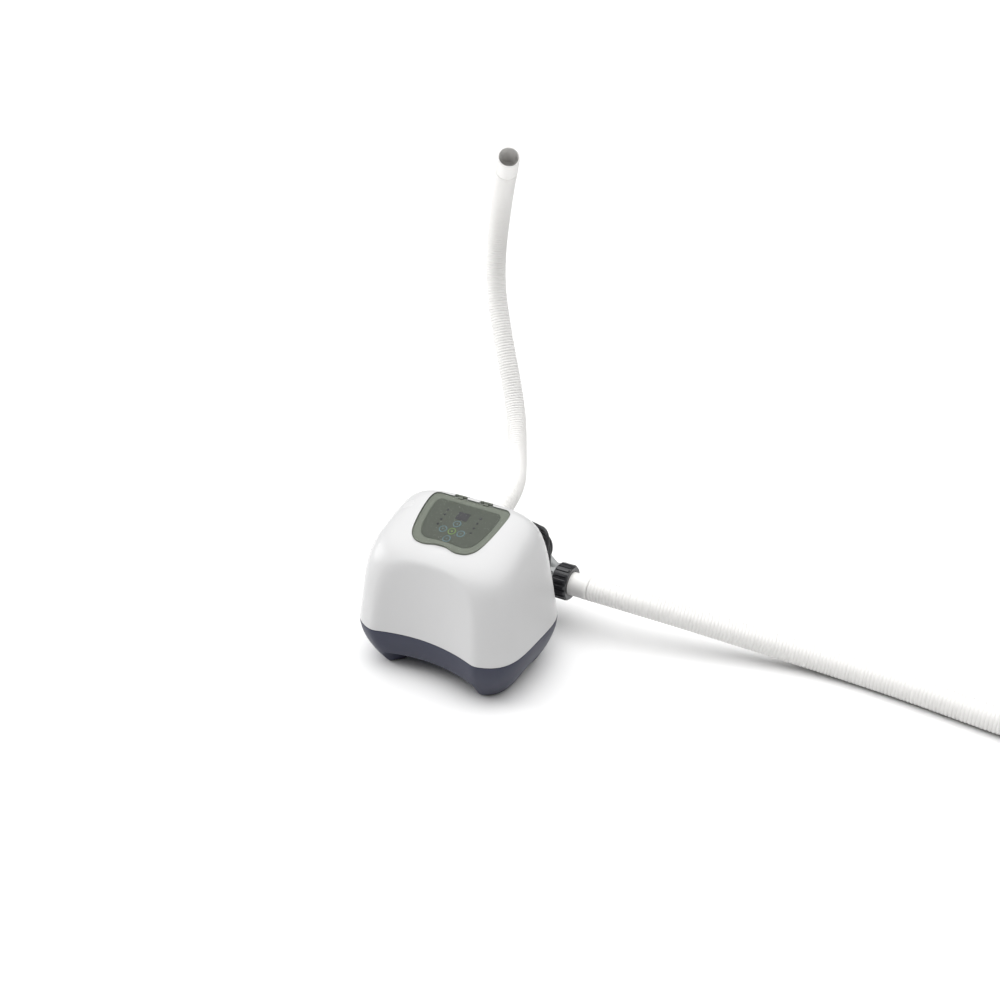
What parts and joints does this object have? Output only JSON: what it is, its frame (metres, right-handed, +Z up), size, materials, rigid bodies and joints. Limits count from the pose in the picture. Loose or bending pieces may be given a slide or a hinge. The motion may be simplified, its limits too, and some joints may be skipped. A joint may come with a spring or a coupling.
{
  "type": "salt chlorine generator",
  "caption": "Domed control unit on a footed base with a flip-up clear panel cover, a flow-through electrolytic cell behind it and two corrugated hoses.",
  "frame": {"origin": "on the floor under the middle of the unit and its cell, hoses and mains lead left out", "axes": "+Z up; the hollow front face with the control panel faces -Y; +X is to the right seen from the front, where the right hose leaves"},
  "size_m": [1.519, 0.7987, 0.7845],
  "materials": {
    "slate_plastic": "satin moulded",
    "white_gloss": "glossy moulded",
    "sage_plastic": "satin moulded",
    "sage_membrane": "fine matt",
    "clear_cover": "polished clear plastic",
    "dark_lens": "polished",
    "black_plastic": "moulded",
    "black_rubber": "matt",
    "grey_plastic": "moulded",
    "light_grey_plastic": "moulded",
    "hose_white": "satin",
    "steel": "plain",
    "brass": "plain",
    "titanium": "coated, matt",
    "aluminium": "anodised",
    "circuit_board": "solder mask",
    "module_plastic": "moulded",
    "relay_blue": "moulded",
    "capacitor_sleeve": "shrink sleeve",
    "terminal_green": "moulded",
    "transformer_core": "varnished",
    "ribbon": "flexible",
    "paddle_orange": "moulded"
  },
  "bodies": {
    "unit": {"base": "slate_plastic", "rubber_feet": "black_rubber", "upper_shell": "white_gloss", "seam_seal": "black_rubber", "casing_screws": "steel", "panel_tray": "sage_plastic", "panel_membrane": "sage_membrane", "display_window": "dark_lens", "display_module": "module_plastic", "status_leds": "dark_lens", "panel_board": "circuit_board", "tact_switches": "module_plastic", "panel_screws": "steel", "hinge_pins": "steel", "main_board": "circuit_board", "board_posts": "brass", "board_screws": "steel", "transformer": "transformer_core", "heat_sink": "aluminium", "capacitors": "capacitor_sleeve", "relays": "relay_blue", "terminal_block": "terminal_green", "panel_ribbon": "ribbon", "cell_housing": "grey_plastic", "electrode_plates": "titanium", "plate_combs": "light_grey_plastic", "cell_terminals": "titanium", "terminal_cap": "black_plastic", "cell_lead": "black_rubber", "cell_cradle": "slate_plastic", "cell_straps": "slate_plastic", "strap_screws": "steel", "flow_sensor": "light_grey_plastic", "sensor_lead": "black_rubber", "right_seal": "black_rubber", "rear_seal": "black_rubber", "right_cuff": "hose_white", "rear_cuff": "hose_white", "right_hose": "hose_white", "rear_hose": "hose_white", "right_end_cuff": "hose_white", "rear_end_cuff": "hose_white", "strain_relief": "black_rubber", "mains_cord": "black_rubber", "mains_hank": "black_rubber", "plug_cord": "black_rubber", "hank_ties": "black_plastic", "cord_hook": "white_gloss", "mains_plug": "black_rubber"},
    "cover": {"panel_cover": "clear_cover"},
    "top_button": {"button_top": "sage_membrane"},
    "bottom_button": {"button_bottom": "sage_membrane"},
    "left_button": {"button_left": "sage_membrane"},
    "right_button": {"button_right": "sage_membrane"},
    "centre_button": {"button_centre": "sage_membrane"},
    "paddle": {"flow_paddle": "paddle_orange"},
    "right_union": {"right_nut": "black_plastic"},
    "rear_union": {"rear_nut": "black_plastic"},
    "sensor_ring": {"sensor_nut": "light_grey_plastic"}
  },
  "joints": [
    {"name": "cover_hinge", "type": "hinge", "parent": "unit", "child": "cover", "pos_m": [0, -0.02533, 0.2847], "axis": [-1, 0, 0], "range_deg": [0, 105]},
    {"name": "top_press", "type": "slide", "parent": "unit", "child": "top_button", "axis": [0, 0.3338, -0.9426], "range_m": [0, 0.0005], "stiffness_N_per_m": 800, "springref_m": -0.0004},
    {"name": "bottom_press", "type": "slide", "parent": "unit", "child": "bottom_button", "axis": [0, 0.3338, -0.9426], "range_m": [0, 0.0005], "stiffness_N_per_m": 800, "springref_m": -0.0004},
    {"name": "left_press", "type": "slide", "parent": "unit", "child": "left_button", "axis": [0, 0.3338, -0.9426], "range_m": [0, 0.0005], "stiffness_N_per_m": 800, "springref_m": -0.0004},
    {"name": "right_press", "type": "slide", "parent": "unit", "child": "right_button", "axis": [0, 0.3338, -0.9426], "range_m": [0, 0.0005], "stiffness_N_per_m": 800, "springref_m": -0.0004},
    {"name": "centre_press", "type": "slide", "parent": "unit", "child": "centre_button", "axis": [0, 0.3338, -0.9426], "range_m": [0, 0.0005], "stiffness_N_per_m": 800, "springref_m": -0.0004},
    {"name": "paddle_swing", "type": "hinge", "parent": "unit", "child": "paddle", "pos_m": [0.0997, 0.112, 0.09791], "axis": [0, 1, 0], "range_deg": [0, 28], "stiffness_Nm_per_rad": 0.004, "springref_deg": -17.19},
    {"name": "right_nut_spin", "type": "hinge", "parent": "unit", "child": "right_union", "pos_m": [0.109, 0.112, 0.084], "axis": [1, 0, 0], "continuous": true},
    {"name": "rear_nut_spin", "type": "hinge", "parent": "unit", "child": "rear_union", "pos_m": [-0.098, 0.17382, 0.10409], "axis": [0, 0.9511, 0.309], "continuous": true},
    {"name": "sensor_nut_spin", "type": "hinge", "parent": "unit", "child": "sensor_ring", "pos_m": [0.06815, 0.112, 0.12533], "axis": [-0.7547, 0, 0.6561], "continuous": true}
  ]
}
